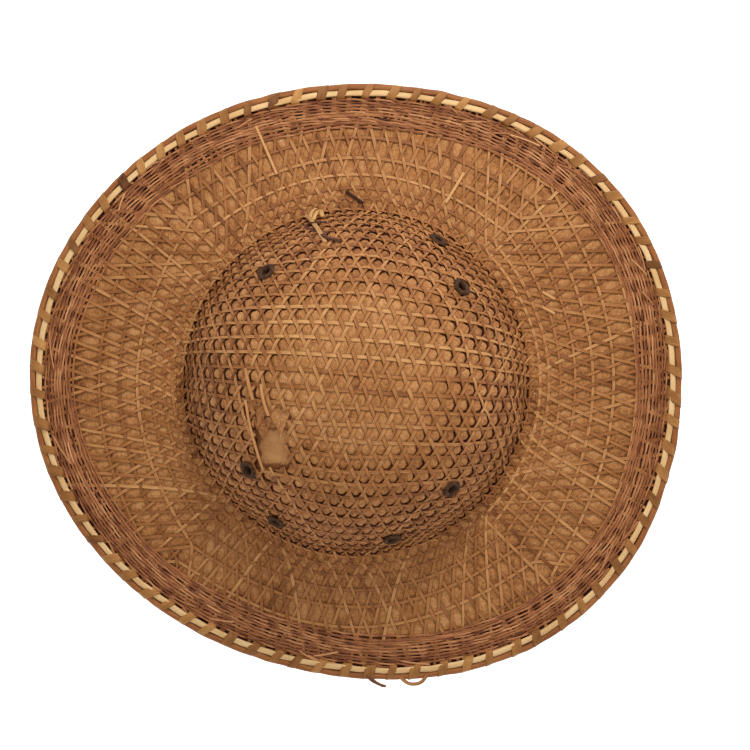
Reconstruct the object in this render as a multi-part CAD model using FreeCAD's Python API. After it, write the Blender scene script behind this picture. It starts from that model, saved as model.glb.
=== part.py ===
import FreeCAD, Part
import math
import os

# Domed sun hat of split bamboo: an open triaxial weave outside, a layer of dried leaf, a paper
# lining, a coarser open weave inside, a twined border and a rim of hoops lashed with cane.
# Millimetres, +Z up. The rim rests on z = 0 and the origin is under the middle of the whole hat.

V = FreeCAD.Vector
TAU = 2 * math.pi

# Rim outline seen from above: a mean radius and the waves of a hand-bent oval hoop,
# each wave as (waves per turn, height, where its crest is in degrees).
RIM_MEAN = 206.3
RIM_WAVES = [(1, 3.5, 17.0), (2, 9.8, -6.4), (3, 3.1, 57.7), (4, 1.3, 38.0), (5, 0.7, 34.0)]

# Profile from the top of the crown to the rim, measured on the middle of the outer weave.
TOP_ANGLE = math.radians(25)
WALL_ANGLE = math.radians(78)
FOOT_ANGLE = math.radians(14)
TOP_RADIUS = 130.0
FOOT_FILLET = 10.0
FOOT_RADIUS = 118.0
FOOT_HEIGHT = 31.0
RIM_HEIGHT = 3.9
BRIM_DROOP = 0.25

# Layers, as heights above the middle of the outer weave, along the surface's normal.
STRIP_THICK = 0.4
STRIP_LEVELS = [-0.6, 0.0, 0.6]
LEAF_TOP = -2.0
LEAF_THICK = 0.6
PAPER_TOP = -2.8
PAPER_THICK = 0.3
LEAF_TIERS = (52.0, 106.0)
INNER_LEVELS = [-3.7, -4.3, -4.9]
SHELL_GAP = 0.3

# Weave. Every ring of hexagonal holes is one pitch further from the top of the crown. A ring on
# the crown has six corners, and a ring on the brim has four, half-way between the axes.
STRIP_WIDTH = 2.0
RINGS = 16
CROWN_TURN = math.radians(-3.75)
TOP_PITCH = (9.2, 12.7)
INNER_RINGS = 6
INNER_WIDTH = 2.6
BRIM_SIDES = 4
BRIM_HOOPS = 6
BORDER_RINGS = 2.0
HOOP_SPREAD = 0.26
CORNER_GAP = 0.2

# Rim. Hoops are (inner inset, outer inset, bottom, top), with insets from the rim's edge and
# heights above the brim's surface; rows of the border are (bottom, top).
BORDER_WIDTH = 20.0
BORDER_ROWS = 13
ROW_WIDTH = 1.2
ROWS_OUTSIDE = (0.4, 1.2)
ROWS_INSIDE = (-1.8, -1.0)
HOOP_CLEAR = 11.0
TOP_HOOP = (8.6, 3.6, 0.5, 2.9)
OUTER_HOOP = (3.0, 0.7, -1.6, 3.0)
UNDER_HOOP_INSETS = (9.2, 3.3)
UNDER_HOOP_HEIGHT = 3.4
WRAPS = 76
WRAP_WIDTH = 6.8
WRAP_THICK = 0.5

# Eyelets, as (direction in degrees, radius from the crown's axis).
EYELETS = [(129, 91.0), (60, 106.0), (42, 91.0), (-48, 91.5), (-77, 103.5), (-120, 103.5), (-141, 88.5)]
EMPTY_EYELET = (104.5, 106.0)
EYELET_HOLE = 2.9
EYELET_FLANGE = 6.3

# Head ring.
HEAD_LONG = 96.0
HEAD_SHORT = 82.0
HEAD_RING_HEIGHT = 22.0
HEAD_RING_BOTTOM = 33.0
HEAD_RING_THICK = 1.2
TIE_REACH = 96.5

# Torn place in the leaf: middle, length along X and along Y.
TEAR_MIDDLE = (-54.0, -33.0)
TEAR_SIZE = (22.0, 44.0)


# ---------------------------------------------------------------- the hat's surface

SIDE_START = TOP_RADIUS * math.sin(TOP_ANGLE)
WALL_END = FOOT_RADIUS - FOOT_FILLET * (math.sin(WALL_ANGLE) - math.sin(FOOT_ANGLE))
SIDE_RADIUS = (WALL_END - SIDE_START) / (math.sin(WALL_ANGLE) - math.sin(TOP_ANGLE))
TOP_ARC = TOP_RADIUS * TOP_ANGLE
SIDE_ARC = SIDE_RADIUS * (WALL_ANGLE - TOP_ANGLE)
FOOT_ARC = FOOT_FILLET * (WALL_ANGLE - FOOT_ANGLE)
CROWN_ARC = TOP_ARC + SIDE_ARC + FOOT_ARC
WALL_END_Z = FOOT_HEIGHT + FOOT_FILLET * (math.cos(FOOT_ANGLE) - math.cos(WALL_ANGLE))
SIDE_START_Z = WALL_END_Z + SIDE_RADIUS * (math.cos(TOP_ANGLE) - math.cos(WALL_ANGLE))
APEX_Z = SIDE_START_Z + TOP_RADIUS * (1 - math.cos(TOP_ANGLE))


def rim_radius(angle):
    """Radius of the rim's outermost edge in a direction from the middle."""
    waves = sum(height * math.cos(n * (angle - math.radians(crest))) for n, height, crest in RIM_WAVES)
    return RIM_MEAN + waves


def crown_profile(s):
    """Radius, height and slope of the crown at a distance s along it from the top."""
    if s <= TOP_ARC:
        slope = s / TOP_RADIUS
        return TOP_RADIUS * math.sin(slope), APEX_Z - TOP_RADIUS * (1 - math.cos(slope)), slope
    if s <= TOP_ARC + SIDE_ARC:
        slope = TOP_ANGLE + (s - TOP_ARC) / SIDE_RADIUS
        r = SIDE_START + SIDE_RADIUS * (math.sin(slope) - math.sin(TOP_ANGLE))
        return r, SIDE_START_Z - SIDE_RADIUS * (math.cos(TOP_ANGLE) - math.cos(slope)), slope
    slope = WALL_ANGLE - (s - TOP_ARC - SIDE_ARC) / FOOT_FILLET
    r = WALL_END + FOOT_FILLET * (math.sin(WALL_ANGLE) - math.sin(slope))
    return r, WALL_END_Z - FOOT_FILLET * (math.cos(slope) - math.cos(WALL_ANGLE)), slope


def crown_point(s, angle, lift):
    """A point above the crown's surface by lift along its normal."""
    r, z, slope = crown_profile(s)
    r += lift * math.sin(slope)
    return V(r * math.cos(angle), r * math.sin(angle), z + lift * math.cos(slope))


def brim_point(angle, r, lift):
    """A point above the brim's surface by lift, straight up, at a radius r."""
    u = (r - FOOT_RADIUS) / (rim_radius(angle) - FOOT_RADIUS)
    fall = (1 - BRIM_DROOP) * u + BRIM_DROOP * u * u
    return V(r * math.cos(angle), r * math.sin(angle), FOOT_HEIGHT + (RIM_HEIGHT - FOOT_HEIGHT) * fall + lift)


# ---------------------------------------------------------------- ways to make solids

def solid_loft(sections, closed=False):
    """A solid through closed four-cornered sections, each a list of points."""
    wires = [Part.makePolygon(points + [points[0]]) for points in sections]
    shape = Part.makeLoft(wires, True, False, closed)
    return shape.Solids[0] if shape.Solids else Part.Solid(Part.Shell(shape.Faces))


def strip_along(points, ups, width, thick):
    """A flat strip whose middle line is points and whose flat side faces ups."""
    sections = []
    for i, (point, up) in enumerate(zip(points, ups)):
        ahead = points[min(i + 1, len(points) - 1)] - points[max(i - 1, 0)]
        side = ahead.cross(up).normalize() * (width / 2)
        rise = up * (thick / 2)
        sections.append([point - side - rise, point + side - rise, point + side + rise, point - side + rise])
    return solid_loft(sections)


def crown_up(s, angle):
    """The crown's outward normal."""
    slope = crown_profile(s)[2]
    return V(math.sin(slope) * math.cos(angle), math.sin(slope) * math.sin(angle), math.cos(slope))


def crown_shell(top, thick):
    """A dome-shaped skin from the top of the crown to the end of its foot."""
    stops = [0, TOP_ARC, TOP_ARC + SIDE_ARC, CROWN_ARC]

    def arcs(lift):
        edges = []
        for start, end in zip(stops, stops[1:]):
            points = [crown_point(s, 0, lift) for s in (start, (start + end) / 2, end)]
            edges.append(Part.Arc(*points).toShape())
        return edges

    ends = [Part.makeLine(crown_point(s, 0, top), crown_point(s, 0, top - thick)) for s in (0, CROWN_ARC)]
    profile = Part.Wire(Part.__sortEdges__(arcs(top) + arcs(top - thick) + ends))
    return Part.Face(profile).revolve(V(0, 0, 0), V(0, 0, 1), 360)


def brim_ring(inset_in, inset_out, bottom, top, steps=40):
    """A closed ring that follows the rim, between two insets from it and two heights above the brim."""
    sections = []
    for i in range(steps):
        angle = TAU * i / steps
        near, far = rim_radius(angle) - inset_in, rim_radius(angle) - inset_out
        sections.append([
            brim_point(angle, near, bottom),
            brim_point(angle, far, bottom),
            brim_point(angle, far, top),
            brim_point(angle, near, top),
        ])
    return solid_loft(sections, closed=True)


def brim_sector(start, end, r_in, inset_out, bottom, thick):
    """One panel of the brim, between two directions, from a radius out to an inset from the rim."""
    sections = []
    steps = math.ceil((end - start) / TAU * 60)
    for i in range(steps + 1):
        angle = start + (end - start) * i / steps
        far = rim_radius(angle) - inset_out
        middle = (r_in + far) / 2
        sections.append([
            brim_point(angle, r_in, bottom),
            brim_point(angle, middle, bottom),
            brim_point(angle, far, bottom),
            brim_point(angle, far, bottom + thick),
            brim_point(angle, middle, bottom + thick),
            brim_point(angle, r_in, bottom + thick),
        ])
    return solid_loft(sections)


def outline_wire(inset, steps=48):
    """The rim's outline drawn in by inset, as one closed smooth curve on z = 0."""
    points = []
    for i in range(steps):
        angle = TAU * i / steps
        r = rim_radius(angle) - inset
        points.append(V(r * math.cos(angle), r * math.sin(angle), 0))
    curve = Part.BSplineCurve()
    curve.interpolate(Points=points, PeriodicFlag=True)
    return Part.Wire([curve.toShape()])


def flat_ring(inset_in, inset_out, height):
    """A flat hoop on z = 0 that follows the rim."""
    face = Part.Face([outline_wire(inset_out), outline_wire(inset_in)])
    face.validate()
    return face.extrude(V(0, 0, height))


# ---------------------------------------------------------------- outer and inner weave

def smooth(x):
    """Eases from 0 to 1."""
    x = min(max(x, 0.0), 1.0)
    return x * x * (3 - 2 * x)


def on_crown(x, y, rings):
    """Where a point of the flat hexagonal weave lies on the dome: distance from the top, direction."""
    scale = RINGS / rings
    flat_x, flat_y = x * TOP_PITCH[0] * scale, y * TOP_PITCH[1] * scale
    angle = math.atan2(y, x)
    across = max(abs(x * math.cos(a) + y * math.sin(a)) for a in (math.pi / 6, math.pi / 2, 5 * math.pi / 6))
    ring = across / math.cos(math.pi / 6)
    middle = (math.floor(angle / (math.pi / 3)) + 0.5) * math.pi / 3
    along = math.tan(angle - middle) / math.tan(math.pi / 6)
    even = middle + along * math.pi / 6
    share = smooth(ring / rings)
    s = (1 - share) * math.hypot(flat_x, flat_y) + share * ring / rings * CROWN_ARC
    flat_angle = math.atan2(flat_y, flat_x)
    return s, (1 - share) * flat_angle + share * even


def crown_strips(direction, level, rings, width, turn):
    """All the strips of one direction of the crown's weave."""
    strips = []
    tilt = math.radians(direction)
    along, across = (math.cos(tilt), math.sin(tilt)), (-math.sin(tilt), math.cos(tilt))
    for k in range(-rings, rings):
        offset = (k + 0.5) * math.cos(math.pi / 6)
        reach = rings - abs(k + 0.5) / 2
        steps = max(6, int(reach * 22 / rings))
        points, ups = [], []
        for i in range(steps + 1):
            t = reach * (2 * i / steps - 1)
            x, y = t * along[0] + offset * across[0], t * along[1] + offset * across[1]
            s, angle = on_crown(x, y, rings)
            angle += turn
            s = min(s, CROWN_ARC - 1)
            points.append(crown_point(s, angle, level))
            ups.append(crown_up(s, angle))
        strips.append(strip_along(points, ups, width, STRIP_THICK))
    return strips


def brim_place(side, ring, along):
    """Direction and radius of a place on the brim's weave: rings from the foot, holes along a side."""
    half_side = (6 * RINGS / BRIM_SIDES + ring) / 2
    angle = (side + along / half_side / 2) * TAU / BRIM_SIDES
    share = ring / BRIM_HOOPS
    spread = share * (1 - HOOP_SPREAD * (1 - share) / 0.5)
    border = rim_radius(angle) - HOOP_CLEAR - BORDER_WIDTH
    r = FOOT_RADIUS + 0.5 + spread * (border - FOOT_RADIUS - 0.5)
    if ring > BRIM_HOOPS:
        r = border + (ring - BRIM_HOOPS) / BORDER_RINGS * (HOOP_CLEAR + BORDER_WIDTH - 3.5)
    return angle, r


def brim_strips(lean, level):
    """The strips that run down the brim leaning one way; each ring starts one more at each corner."""
    strips = []
    last_ring = BRIM_HOOPS + BORDER_RINGS
    half_holes = 6 * RINGS // BRIM_SIDES // 2
    steps = 7
    for side in range(BRIM_SIDES):
        for k in range(-half_holes - BRIM_HOOPS, half_holes):
            start = k + 0.5
            first_ring = max(0.0, -half_holes - start)
            if first_ring > 0:
                first_ring += CORNER_GAP
            points = []
            for i in range(steps + 1):
                ring = first_ring + (last_ring - first_ring) * i / steps
                angle, r = brim_place(side, ring, lean * (start + ring / 2))
                points.append(brim_point(angle, r, level))
            strips.append(strip_along(points, [V(0, 0, 1)] * (steps + 1), STRIP_WIDTH, STRIP_THICK))
    return strips


def brim_hoop_strips():
    """The strips that run round the brim, wider apart towards the border."""
    hoops = []
    steps = 48
    low, high = STRIP_LEVELS[2] - STRIP_THICK / 2, STRIP_LEVELS[2] + STRIP_THICK / 2
    for k in range(BRIM_HOOPS):
        sections = []
        for i in range(steps):
            side, along = divmod(i * BRIM_SIDES, steps)
            half_side = (6 * RINGS / BRIM_SIDES + k + 0.5) / 2
            angle, r = brim_place(side, k + 0.5, (2 * along / steps - 1) * half_side)
            near, far = r - STRIP_WIDTH / 2, r + STRIP_WIDTH / 2
            sections.append([
                brim_point(angle, near, low),
                brim_point(angle, far, low),
                brim_point(angle, far, high),
                brim_point(angle, near, high),
            ])
        hoops.append(solid_loft(sections, closed=True))
    return hoops


# ---------------------------------------------------------------- leaf and paper

def eyelet_axis(direction, radius):
    """Middle and outward direction of an eyelet on the crown."""
    low, high = 0.0, TOP_ARC + SIDE_ARC
    for _ in range(40):
        half = (low + high) / 2
        if crown_profile(half)[0] < radius:
            low = half
        else:
            high = half
    angle = math.radians(direction)
    return crown_point(low, angle, 0), crown_up(low, angle)


def eyelet_holes(radius):
    """Round cutters through every layer at each eyelet, the empty one too."""
    cutters = []
    for direction, r in EYELETS + [EMPTY_EYELET]:
        middle, up = eyelet_axis(direction, r)
        cutters.append(Part.makeCylinder(radius, 20, middle - up * 10, up))
    return cutters


def tear_prism(grow=0.0):
    """An upright block over the torn place in the crown."""
    (x, y), (long_x, long_y) = TEAR_MIDDLE, TEAR_SIZE
    wide, deep = long_x + 2 * grow, long_y + 2 * grow
    return Part.makeBox(wide, deep, 200, V(x - wide / 2, y - deep / 2, 0))


def crown_panels(shell, count, s_from, s_to, turn):
    """A tier of a dome skin, cut into panels like overlapping leaves, with hairline gaps."""
    tier = shell.cut(Part.makeCylinder(crown_profile(s_from)[0] + SHELL_GAP / 2, 300))
    if s_to < CROWN_ARC:
        tier = tier.common(Part.makeCylinder(crown_profile(s_to)[0] - SHELL_GAP / 2, 300))
    panels = []
    for k in range(count):
        start = turn + TAU * k / count
        gap = SHELL_GAP / 200
        panels += tier.common(sector_wedge(start + gap, start + TAU / count - gap)).Solids
    return panels


def sector_wedge(start, end):
    """A tall wedge between two directions."""
    reach = 400
    corners = [
        V(0, 0, 0),
        V(reach * math.cos(start), reach * math.sin(start), 0),
        V(reach * math.cos(end), reach * math.sin(end), 0),
    ]
    return Part.Face(Part.makePolygon(corners + [corners[0]])).extrude(V(0, 0, 300))


def brim_panels(count, top, thick, inset_out, turn):
    """The brim's skin in panels, with hairline gaps between them."""
    panels = []
    for k in range(count):
        start = turn + TAU * k / count
        gap = SHELL_GAP / 300
        panels.append(brim_sector(start + gap, start + TAU / count - gap, FOOT_RADIUS + 0.4,
                                  inset_out, top - thick, thick))
    return panels


# ---------------------------------------------------------------- rim

def rim_frame(angle):
    """A point on the rim's outline, the way outward from it and the way along it, all level."""
    step = 0.01

    def outline(a):
        return V(rim_radius(a) * math.cos(a), rim_radius(a) * math.sin(a), 0)

    tangent = (outline(angle + step) - outline(angle - step)).normalize()
    return outline(angle), tangent.cross(V(0, 0, 1)), tangent


def lashing_wrap(angle):
    """One turn of cane round the three hoops, its two ends meeting the strips between them."""
    edge, outward, tangent = rim_frame(angle)

    def surface(inset):
        return brim_point(angle, rim_radius(angle) - inset, 0).z

    crest_in, crest_out, leg = 9.3, 2.6, 10.2
    bottom = 0.1
    top = surface(crest_out) + 3.6
    top_in = top + surface(crest_in) - surface(crest_out)
    upper_end, lower_end = surface(leg) + 0.6, surface(leg) - 1.2
    outer = [
        (leg, upper_end),
        (crest_in, top_in),
        (crest_out, top),
        (0, top - 0.8),
        (0, bottom),
        (leg, bottom),
        (leg, lower_end),
    ]
    inner_leg, low = leg - WRAP_THICK, bottom + WRAP_THICK
    inner = [
        (inner_leg, lower_end),
        (inner_leg, low),
        (WRAP_THICK, low),
        (WRAP_THICK, top - 1.0),
        (crest_out + 0.1, top - WRAP_THICK),
        (crest_in - 0.3, top_in - WRAP_THICK),
        (inner_leg, upper_end),
    ]
    points = [edge - outward * d + V(0, 0, z) - tangent * (WRAP_WIDTH / 2) for d, z in outer + inner]
    return Part.Face(Part.makePolygon(points + [points[0]])).extrude(tangent * WRAP_WIDTH)


def wrap_angles():
    """Directions of the turns of cane, evenly spaced along the rim."""
    return [TAU * (k + 0.5) / WRAPS for k in range(WRAPS)]


def under_hoop():
    """The hoop the hat rests on, with a shallow groove under each turn of cane."""
    hoop = flat_ring(*UNDER_HOOP_INSETS, UNDER_HOOP_HEIGHT)
    grooves = []
    for angle in wrap_angles():
        reach = rim_radius(angle)
        block = Part.makeBox(14, WRAP_WIDTH + 0.6, 0.8, V(reach - 12, -(WRAP_WIDTH + 0.6) / 2, -0.1))
        grooves.append(block.rotated(V(0, 0, 0), V(0, 0, 1), math.degrees(angle)))
    return hoop.cut(grooves)


def border_rows(bottom, top):
    """The rows of twined splints on one face of the border."""
    pitch = BORDER_WIDTH / BORDER_ROWS
    rows = []
    for k in range(BORDER_ROWS):
        inset = HOOP_CLEAR + pitch * (k + 0.5)
        rows.append(brim_ring(inset + ROW_WIDTH / 2, inset - ROW_WIDTH / 2, bottom, top, 32))
    return rows


def short_strip(points, width, thick, up=V(0, 0, 1)):
    """A short loose piece of splint through a few points."""
    return strip_along([V(*p) for p in points], [up] * len(points), width, thick)


# ---------------------------------------------------------------- metal eyelets and head ring

def eyelet(direction, radius):
    """A rolled flange and a barrel that passes through every layer."""
    middle, up = eyelet_axis(direction, radius)
    base = middle + up * 1.0
    flange = Part.makeCylinder(EYELET_FLANGE, 0.5, base, up)
    roll = Part.makeTorus(EYELET_FLANGE - 1.6, 1.0, base + up * 0.5, up)
    barrel = Part.makeCylinder(EYELET_HOLE + 0.5, 7.9, base - up * 7.4, up)
    hole = Part.makeCylinder(EYELET_HOLE, 20, base - up * 12, up)
    return flange.fuse([roll, barrel]).cut(hole).removeSplitter()


def eyelet_washer(direction, radius):
    """The plain ring that the barrel is spread against, inside the hat."""
    middle, up = eyelet_axis(direction, radius)
    base = middle - up * 6.2
    ring = Part.makeCylinder(EYELET_FLANGE - 0.4, 0.5, base, up)
    return ring.cut(Part.makeCylinder(EYELET_HOLE + 0.6, 4, base - up * 2, up))


def oval(long_half, short_half):
    """A level oval wire at the bottom of the head ring."""
    curve = Part.Ellipse(V(0, 0, HEAD_RING_BOTTOM), long_half, short_half)
    return Part.Wire([curve.toShape()])


def oval_ring(inner_grow, outer_grow, z_from, height):
    """A level oval band round the head, between two sizes."""
    face = Part.Face([oval(HEAD_LONG + outer_grow, HEAD_SHORT + outer_grow),
                      oval(HEAD_LONG + inner_grow, HEAD_SHORT + inner_grow)])
    face.validate()
    return face.extrude(V(0, 0, height)).translated(V(0, 0, z_from))


def head_ring_tie(direction):
    """One cane loop from the head ring to the inner weave."""
    angle = math.radians(direction)
    ring_r = 1 / math.hypot(math.cos(angle) / HEAD_LONG, math.sin(angle) / HEAD_SHORT)
    z = HEAD_RING_BOTTOM + HEAD_RING_HEIGHT / 2
    inner = ring_r - 1.4
    reach = TIE_REACH - inner
    tall = HEAD_RING_HEIGHT + 8
    cane = Part.makeBox(reach, 3, tall, V(inner, -1.5, z - tall / 2))
    hollow = Part.makeBox(reach - 1.6, 5, tall - 1.6, V(inner + 0.8, -2.5, z - tall / 2 + 0.8))
    return cane.cut(hollow).rotated(V(0, 0, 0), V(0, 0, 1), direction)


# ---------------------------------------------------------------- the pieces

def outer_weave(pieces):
    names = ["crown_strips_level", "crown_strips_rising", "crown_strips_falling"]
    cutters = [tear_prism(2)]
    for name, direction, level in zip(names, (0, 60, 120), STRIP_LEVELS):
        strips = crown_strips(direction, level, RINGS, STRIP_WIDTH, CROWN_TURN)
        if name == "crown_strips_level":
            strips = [part for strip in strips for part in strip.cut(cutters).Solids]
        pieces[name] = strips
    pieces["brim_strips_clockwise"] = brim_strips(-1, STRIP_LEVELS[0])
    pieces["brim_strips_counter"] = brim_strips(1, STRIP_LEVELS[1])
    pieces["brim_hoop_strips"] = brim_hoop_strips()


def inner_weave(pieces):
    names = ["lining_strips_level", "lining_strips_rising", "lining_strips_falling"]
    for name, direction, level in zip(names, (0, 60, 120), INNER_LEVELS):
        pieces[name] = crown_strips(direction, level, INNER_RINGS, INNER_WIDTH, 0.0)


def covers(pieces):
    leaf = crown_shell(LEAF_TOP, LEAF_THICK)
    leaf = leaf.cut(eyelet_holes(EYELET_HOLE + 0.6) + [tear_prism()])
    top_edge, middle_edge = LEAF_TIERS
    pieces["crown_leaf_top"] = [leaf.common(Part.makeCylinder(crown_profile(top_edge)[0], 300))]
    pieces["crown_leaf_shoulder"] = crown_panels(leaf, 10, top_edge, middle_edge, 0.0)
    pieces["crown_leaf_wall"] = crown_panels(leaf, 12, middle_edge, CROWN_ARC, math.radians(7.5))
    paper = crown_shell(PAPER_TOP, PAPER_THICK).cut(eyelet_holes(EYELET_HOLE + 0.6))
    pieces["crown_paper"] = [paper]
    pieces["brim_leaf"] = brim_panels(12, LEAF_TOP, LEAF_THICK, HOOP_CLEAR + 1, math.radians(7.5))
    pieces["brim_paper"] = brim_panels(4, PAPER_TOP, PAPER_THICK, HOOP_CLEAR + BORDER_WIDTH - 6, 0.0)


def rim(pieces):
    pieces["rim_top_hoop"] = [brim_ring(*TOP_HOOP)]
    pieces["rim_outer_hoop"] = [brim_ring(*OUTER_HOOP)]
    pieces["rim_under_hoop"] = under_hoop().Solids
    pieces["rim_lashing"] = [lashing_wrap(angle) for angle in wrap_angles()]
    pieces["border_rows_outside"] = border_rows(*ROWS_OUTSIDE)
    pieces["border_rows_inside"] = border_rows(*ROWS_INSIDE)


def loose_ends(pieces):
    def beside_rim(direction, out, height):
        edge, outward, _ = rim_frame(math.radians(direction))
        return edge + outward * out + V(0, 0, height)

    tail = [(-88.0, -1.5, 9.4), (-86.6, 1.2, 9.0), (-85.2, 3.0, 7.6)]
    loop = [(-81.5, -1.5, 9.4), (-80.6, 1.6, 9.2), (-79.6, 3.4, 8.8), (-78.2, 3.4, 8.8), (-77.2, 1.6, 9.2),
            (-76.3, -1.5, 9.4)]
    for name, route in (("lashing_tail", tail), ("lashing_loop", loop)):
        points = [beside_rim(*stop) for stop in route]
        pieces[name] = [strip_along(points, [V(0, 0, 1)] * len(points), 2.2, 0.5)]


def crown_details(pieces):
    pieces["eyelets"] = [eyelet(direction, r) for direction, r in EYELETS]
    pieces["eyelet_washers"] = [eyelet_washer(direction, r) for direction, r in EYELETS]
    middle, up = eyelet_axis(*EMPTY_EYELET)
    pieces["cane_tie"] = [strip_along([middle + up * 1.6 + V(-10, 7, 0), middle + up * 2.4,
                                       middle + up * 1.6 + V(8, -9, 2)], [up] * 3, 5.0, 0.6)]
    (x, y), (_, long_y) = TEAR_MIDDLE, TEAR_SIZE
    paper_s = math.hypot(x, y)
    height = crown_point(paper_s, 0, LEAF_TOP).z
    pieces["torn_leaf_flap"] = [short_strip([(x - 6, y + 8, height + 3), (x, y + 6, height + 3.6),
                                             (x + 8, y + 7, height + 6)], 6.0, 0.5)]
    pieces["broken_splints"] = [
        short_strip([(x - 13, y + long_y / 2 - 2, height - 3), (x - 11, y + 2, height + 1)], 2.2, 0.5),
        short_strip([(x - 3, y + long_y / 2, height + 2.5), (x - 1, y + 12, height + 5.0)], 2.2, 0.5),
    ]


def head_ring(pieces):
    pieces["head_ring"] = [oval_ring(0, HEAD_RING_THICK, 0, HEAD_RING_HEIGHT)]
    pieces["head_ring_upper_binding"] = [oval_ring(1.4, 3.0, HEAD_RING_HEIGHT - 4, 4)]
    pieces["head_ring_lower_binding"] = [oval_ring(1.4, 3.0, 0, 4)]
    pieces["head_ring_ties"] = [head_ring_tie(direction) for direction in (52, 128, 232, 308)]


def main():
    os.makedirs("parts", exist_ok=True)
    pieces = {}
    for build in (outer_weave, inner_weave, covers, rim, loose_ends, crown_details, head_ring):
        build(pieces)
    edge = [solid for name in ("rim_lashing", "lashing_tail", "lashing_loop") for solid in pieces[name]]
    box = Part.makeCompound(edge).optimalBoundingBox(False, False)
    shift = V(-box.Center.x, -box.Center.y, 0)
    for name, solids in pieces.items():
        shape = Part.makeCompound(solids).translated(shift)
        shape.exportStep("parts/%s.step" % name)
        state = "valid" if shape.isValid() else "INVALID"
        print(name, len(shape.Solids), "solids", round(shape.Volume), "mm3", state)
    print("outline", round(box.XLength, 1), "by", round(box.YLength, 1), "moved by", shift)


main()
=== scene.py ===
import math
import bpy
import numpy as np
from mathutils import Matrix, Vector


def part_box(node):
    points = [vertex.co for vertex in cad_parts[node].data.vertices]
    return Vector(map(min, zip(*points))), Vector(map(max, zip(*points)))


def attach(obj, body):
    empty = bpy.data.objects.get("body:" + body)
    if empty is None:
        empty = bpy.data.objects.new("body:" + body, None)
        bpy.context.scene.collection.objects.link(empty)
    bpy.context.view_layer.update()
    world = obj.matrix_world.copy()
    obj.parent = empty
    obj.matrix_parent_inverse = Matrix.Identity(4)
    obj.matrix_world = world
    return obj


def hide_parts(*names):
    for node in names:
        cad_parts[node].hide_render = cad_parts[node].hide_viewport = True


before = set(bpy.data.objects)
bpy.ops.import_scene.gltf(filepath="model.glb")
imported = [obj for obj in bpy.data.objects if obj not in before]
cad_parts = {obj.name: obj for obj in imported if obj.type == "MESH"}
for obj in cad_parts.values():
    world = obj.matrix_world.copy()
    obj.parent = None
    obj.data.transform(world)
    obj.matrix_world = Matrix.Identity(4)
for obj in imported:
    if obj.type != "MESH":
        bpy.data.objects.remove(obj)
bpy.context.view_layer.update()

# Domed sun hat of split bamboo. Lengths are millimetres about the crown's axis until a mesh is made.
low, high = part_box("crown_paper")
CROWN_AXIS = np.array([(low[0] + high[0]) / 2, (low[1] + high[1]) / 2, 0.0])
MM = 0.001
TAU = 2 * math.pi
SIXTH = TAU / 6
COS30 = math.cos(math.pi / 6)
draw = np.random.default_rng(36)

# Rim outline: a mean radius and waves as (waves per turn, height, where the crest is in degrees).
RIM_MEAN = 206.3
RIM_WAVES = [(1, 3.5, 17.0), (2, 9.8, -6.4), (3, 3.1, 57.7), (4, 1.3, 38.0), (5, 0.7, 34.0)]

# Profile of the outer weave from the top of the crown to the rim.
TOP_ANGLE = math.radians(25)
WALL_ANGLE = math.radians(78)
FOOT_ANGLE = math.radians(14)
TOP_RADIUS = 130.0
FOOT_FILLET = 10.0
FOOT_RADIUS = 118.0
FOOT_HEIGHT = 31.0
RIM_HEIGHT = 3.9
BRIM_DROOP = 0.25

# Weave of the crown: rings of holes from its top to its foot, and the size of a hole at the top.
RINGS = 16
CROWN_TURN = math.radians(-3.75)
TOP_PITCH = (9.2, 12.7)
CORNER_BULGE = 0.6
CORNER_FADE = 5
FLAT_TOP = 40
WALL_NARROWING = 0.34
WALL_CALM = 0.3
WEAVE_LIFT = 0.55
STRIP_THICK = 0.5
TOP_WIDTH = 2.7
STEP = 1.8
LINING_RINGS = 6
LINING_LEVEL = -5.2
LINING_LIFT = 0.5
LINING_WIDTH = 3.4

# Weave of the brim: rings of holes on four sides, each ring wider than the one within it.
BRIM_SIDES = 4
SIDE_HOLES = 6 * RINGS // BRIM_SIDES
BRIM_HOOPS = 9
BRIM_END = 10.5
ROW_FIRST = 3.79
ROW_GROWTH = 0.99
NORTH_STRETCH = 0.15
CORNER_REACH = 8.0
BRIM_WIDTH = 2.2
STRIP_INSET = 5.5

# Leaf and paper: the grid's cells for each hole of the weave, their thickness and the paper's level.
CELLS = 6
LEAF_THICK = 0.45
PAPER_THICK = 0.3
PAPER_LEVEL = -3.6
# Tiers of leaf on the crown: name, first and last ring, rows of the grid, how much it is raised.
LEAF_TIERS = [
    ("crown_leaf_top", 0.4, 5.6, 44, 0.2),
    ("crown_leaf_shoulder", 5.2, 11.2, 76, 0.0),
    ("crown_leaf_wall", 10.8, 16.0, 76, -0.2),
]

# Rim and border.
RIM_CLEAR = 9.4
BORDER_WIDTH = 21.0
BORDER_ROWS = 10
TWINE_TURNS = 112
TWINE_WIDTH = 1.5
LOOSE_STRANDS = 64
WRAPS = 76
WRAP_WIDTH = 5.8
DARK_WRAP = 29

# Eyelets, as (direction in degrees, radius from the crown's axis).
EYELETS = [(129, 91.0), (60, 106.0), (42, 91.0), (-48, 91.5), (-77, 103.5), (-120, 103.5), (-141, 88.5)]
EMPTY_EYELET = (104.5, 106.0)
EYELET_HOLE = 2.9
EYELET_FLANGE = 6.3

# Torn place in the leaf: middle, length along X and along Y, and how much of its top still has leaf.
TEAR_MIDDLE = (-54.0, -33.0)
TEAR_SIZE = (22.0, 44.0)
TEAR_TOP = 17.0

# Head ring.
HEAD_LONG = 96.0
HEAD_SHORT = 82.0
HEAD_RING_HEIGHT = 22.0
HEAD_RING_BOTTOM = 33.0
TIE_REACH = 96.1

# Painted light and shade: how much paler the weave and the leaf are painted at the top of the crown, and
# how much darker its wall is painted.
TOP_PAINTED_LIGHT = 0.12
LEAF_TOP_PAINTED_LIGHT = 0.08
WALL_PAINTED_SHADE = 0.07
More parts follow.
